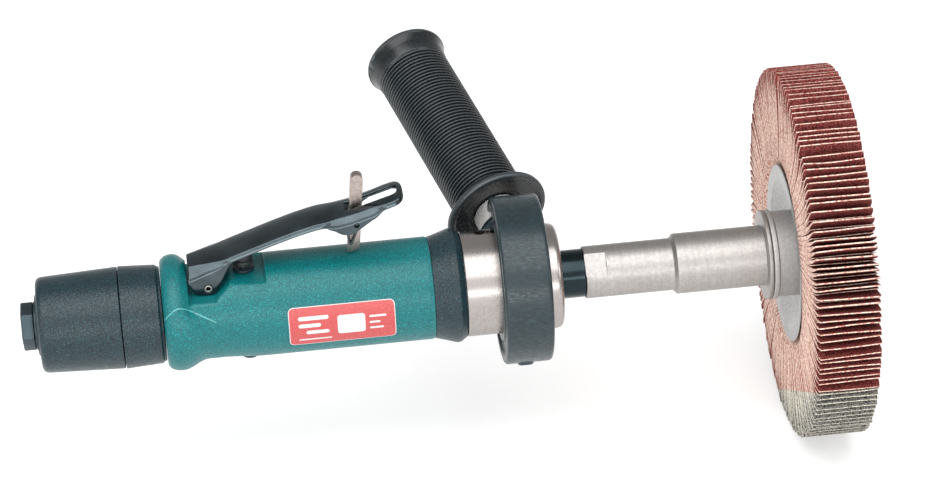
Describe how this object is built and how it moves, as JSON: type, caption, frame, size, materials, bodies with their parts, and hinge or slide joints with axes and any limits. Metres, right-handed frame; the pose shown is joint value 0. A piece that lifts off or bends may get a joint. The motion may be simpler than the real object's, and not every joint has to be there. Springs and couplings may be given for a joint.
{
  "type": "air die grinder",
  "caption": "Straight air-powered finishing grinder with a rear exhaust muffler, lever throttle with safety lock, clamp-on side handle, extended arbor and abrasive flap wheel.",
  "frame": {"origin": "centre of the front face of the hex-head screw that holds the abrasive wheel, on the tool's axis", "axes": "+X along the tool axis from the air inlet to the wheel, +Z towards the throttle lever, +Y towards the side handle"},
  "size_m": [0.3471, 0.2098, 0.1524],
  "materials": {
    "teal_housing": "fine textured composite",
    "black_composite": "fine textured composite",
    "black_steel": "black oxide, semi-gloss",
    "bright_steel": "fine turned, satin",
    "plain_steel": "machined",
    "cast_iron": "ground",
    "brass": "machined",
    "black_rubber": "ribbed, satin",
    "felt": "wool felt",
    "red_label": "printed film",
    "blade_composite": "fabric-filled resin",
    "abrasive_cloth": "coated abrasive, aluminium oxide grit",
    "core_resin": "cast resin"
  },
  "bodies": {
    "tool_body": {"inlet_bushing": "black_steel", "inlet_washer": "bright_steel", "inlet_screen": "brass", "muffler_cap": "black_composite", "muffler_felt": "felt", "exhaust_ring": "black_composite", "housing": "teal_housing", "name_plate": "red_label", "valve_seat": "brass", "stem_bushing": "black_composite", "valve_spring": "plain_steel", "lever_pin": "bright_steel", "rear_end_plate": "cast_iron", "front_end_plate": "cast_iron", "rear_rotor_bearing": "bright_steel", "front_rotor_bearing": "bright_steel", "motor_cylinder": "cast_iron", "front_lock_ring": "black_composite", "gear_case": "bright_steel", "ring_gear": "plain_steel", "rear_spindle_bearing": "bright_steel", "bearing_spacer": "plain_steel", "front_spindle_bearing": "bright_steel", "spindle_seal": "black_rubber"},
    "spindle": {"output_spindle": "black_steel", "planet_pin_1": "bright_steel", "planet_pin_2": "bright_steel", "planet_pin_3": "bright_steel", "arbor": "bright_steel", "inner_flange": "bright_steel", "wheel_rear_plate": "plain_steel", "wheel_core": "core_resin", "flap_pack": "abrasive_cloth", "wheel_front_plate": "plain_steel", "outer_flange": "bright_steel", "wheel_screw": "bright_steel"},
    "rotor": {"rotor": "plain_steel", "sun_pinion": "plain_steel", "rotor_blade_1": "blade_composite", "rotor_blade_2": "blade_composite", "rotor_blade_3": "blade_composite", "rotor_blade_4": "blade_composite", "rotor_blade_5": "blade_composite"},
    "planet_1": {"planet_gear_1": "plain_steel"},
    "planet_2": {"planet_gear_2": "plain_steel"},
    "planet_3": {"planet_gear_3": "plain_steel"},
    "lever": {"throttle_lever": "black_steel", "lock_pin": "black_steel"},
    "lock": {"safety_lock": "bright_steel", "lock_spring": "bright_steel"},
    "valve": {"valve_stem": "plain_steel", "valve_button": "black_rubber"},
    "regulator": {"speed_regulator": "black_steel"},
    "side_handle": {"clamp_ring": "black_composite", "clamp_screw": "bright_steel", "handle_stud": "plain_steel", "handle_bushing": "bright_steel", "handle_grip": "black_rubber"}
  },
  "joints": [
    {"name": "spindle_spin", "type": "hinge", "parent": "tool_body", "child": "spindle", "pos_m": [-0.1254, 0, 0], "axis": [1, 0, 0], "continuous": true},
    {"name": "rotor_spin", "type": "hinge", "parent": "tool_body", "child": "rotor", "pos_m": [-0.2134, 0, 0], "axis": [1, 0, 0], "continuous": true},
    {"name": "planet_1_spin", "type": "hinge", "parent": "spindle", "child": "planet_1", "pos_m": [-0.1719, 0, 0.01013], "axis": [1, 0, 0], "continuous": true},
    {"name": "planet_2_spin", "type": "hinge", "parent": "spindle", "child": "planet_2", "pos_m": [-0.1719, -0.00877, -0.00506], "axis": [1, 0, 0], "continuous": true},
    {"name": "planet_3_spin", "type": "hinge", "parent": "spindle", "child": "planet_3", "pos_m": [-0.1719, 0.00877, -0.00506], "axis": [1, 0, 0], "continuous": true},
    {"name": "lever_press", "type": "hinge", "parent": "tool_body", "child": "lever", "pos_m": [-0.271, 0, 0.0159], "axis": [0, 1, 0], "range_deg": [0, 5], "stiffness_Nm_per_rad": 2, "springref_deg": -4.58},
    {"name": "lock_flip", "type": "hinge", "parent": "lever", "child": "lock", "pos_m": [-0.2098, 0, 0.0387], "axis": [0, 1, 0], "range_deg": [0, 45]},
    {"name": "valve_slide", "type": "slide", "parent": "tool_body", "child": "valve", "axis": [0, 0, -1], "range_m": [0, 0.0013], "deforming": ["valve_spring"]},
    {"name": "regulator_turn", "type": "hinge", "parent": "tool_body", "child": "regulator", "pos_m": [-0.2562, 0, -0.02], "axis": [0, 0, -1], "range_deg": [0, 180]},
    {"name": "handle_swivel", "type": "hinge", "parent": "tool_body", "child": "side_handle", "pos_m": [-0.1441, 0, 0], "axis": [1, 0, 0], "continuous": true}
  ],
  "couplings": [
    {"joint": "rotor_spin", "follows": "spindle_spin", "ratio": 4.5},
    {"joint": "planet_1_spin", "follows": "spindle_spin", "ratio": -2.8},
    {"joint": "planet_2_spin", "follows": "spindle_spin", "ratio": -2.8},
    {"joint": "planet_3_spin", "follows": "spindle_spin", "ratio": -2.8},
    {"joint": "lock_flip", "follows": "lever_press", "ratio": 9},
    {"joint": "valve_slide", "follows": "lever_press", "m_per_rad": 0.0148}
  ]
}
